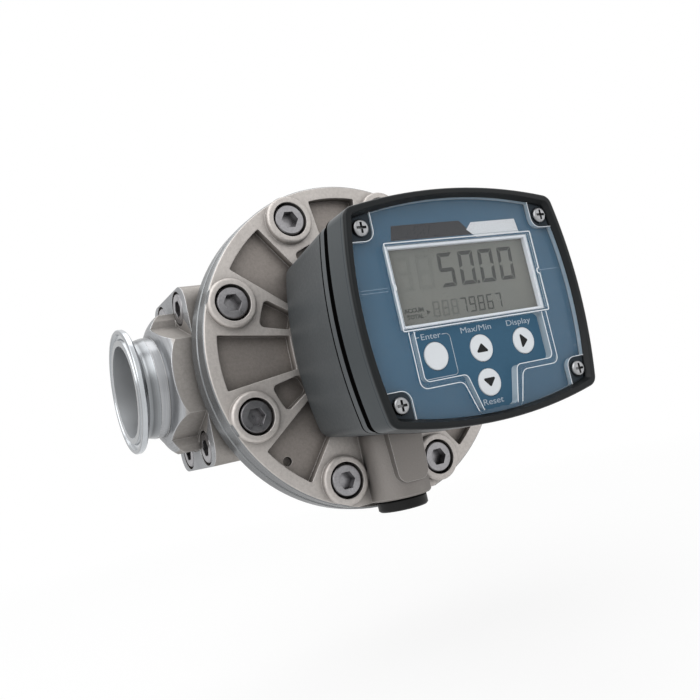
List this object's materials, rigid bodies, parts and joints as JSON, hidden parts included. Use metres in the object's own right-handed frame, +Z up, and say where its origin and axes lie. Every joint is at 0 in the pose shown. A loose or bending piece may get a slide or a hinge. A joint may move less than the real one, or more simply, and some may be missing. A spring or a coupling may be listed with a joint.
{
  "type": "oval gear flow meter",
  "caption": "Positive displacement flow meter with two oval gears, a pocketed disc cover, clamp ferrule ports and a hooded front display with keys.",
  "frame": {"origin": "centre of the inlet ferrule's sealing face, on the port axis", "axes": "+X along the flow from inlet to outlet, the display faces -Y, +Z up"},
  "size_m": [0.224, 0.1875, 0.1722],
  "materials": {
    "cast_steel": "cast stainless steel, bead blasted",
    "turned_steel": "turned stainless steel",
    "screw_steel": "plain stainless steel",
    "hood_plastic": "slate grey glass-filled plastic",
    "bezel_plastic": "black moulded plastic",
    "black_rubber": "black rubber",
    "white_seal": "white seal",
    "fascia_blue": "printed blue film on a stiff plate",
    "clear": "clear polycarbonate",
    "frame_white": "off-white plastic",
    "display": "liquid crystal display",
    "board": "green circuit board",
    "battery_case": "sleeved cell",
    "bush": "carbon bush",
    "magnet": "plated magnet"
  },
  "bodies": {
    "base": {"meter_body": "cast_steel", "front_cover": "cast_steel", "cover_seal": "black_rubber", "cover_screws": "screw_steel", "dowel_pins": "screw_steel", "inlet_ferrule": "turned_steel", "inlet_adapter": "cast_steel", "inlet_seal": "white_seal", "inlet_screws": "screw_steel", "outlet_ferrule": "turned_steel", "outlet_adapter": "cast_steel", "outlet_seal": "white_seal", "outlet_screws": "screw_steel", "upper_shaft": "turned_steel", "lower_shaft": "turned_steel", "conduit_plug": "bezel_plastic", "plug_seal": "black_rubber", "sensor_board": "board", "display_hood": "hood_plastic", "hood_seal": "black_rubber", "hood_screws": "screw_steel", "module_back": "hood_plastic", "battery": "battery_case", "battery_clip": "screw_steel", "module_gasket": "black_rubber", "display_bezel": "bezel_plastic", "fascia_plate": "fascia_blue", "clear_cover": "clear", "lcd_frame": "frame_white", "lcd_glass": "display", "circuit_board": "board", "board_posts": "screw_steel", "panel_screws": "screw_steel"},
    "upper_gear": {"upper_oval_gear": "turned_steel", "upper_gear_bushes": "bush", "gear_magnets": "magnet"},
    "lower_gear": {"lower_oval_gear": "turned_steel", "lower_gear_bushes": "bush"},
    "enter": {"enter_key": "frame_white"},
    "up": {"up_key": "frame_white"},
    "right": {"right_key": "frame_white"},
    "down": {"down_key": "frame_white"}
  },
  "joints": [
    {"name": "upper_spin", "type": "hinge", "parent": "base", "child": "upper_gear", "pos_m": [0.112, 0, 0.02715], "axis": [0, 1, 0], "continuous": true},
    {"name": "lower_spin", "type": "hinge", "parent": "base", "child": "lower_gear", "pos_m": [0.112, 0, -0.02715], "axis": [0, 1, 0], "continuous": true},
    {"name": "enter_press", "type": "slide", "parent": "base", "child": "enter", "axis": [0, 1, 0], "range_m": [0, 0.0006], "stiffness_N_per_m": 900, "springref_m": -0.0012},
    {"name": "up_press", "type": "slide", "parent": "base", "child": "up", "axis": [0, 1, 0], "range_m": [0, 0.0006], "stiffness_N_per_m": 900, "springref_m": -0.0012},
    {"name": "right_press", "type": "slide", "parent": "base", "child": "right", "axis": [0, 1, 0], "range_m": [0, 0.0006], "stiffness_N_per_m": 900, "springref_m": -0.0012},
    {"name": "down_press", "type": "slide", "parent": "base", "child": "down", "axis": [0, 1, 0], "range_m": [0, 0.0006], "stiffness_N_per_m": 900, "springref_m": -0.0012}
  ],
  "couplings": [
    {"joint": "lower_spin", "follows": "upper_spin", "ratio": -1}
  ]
}
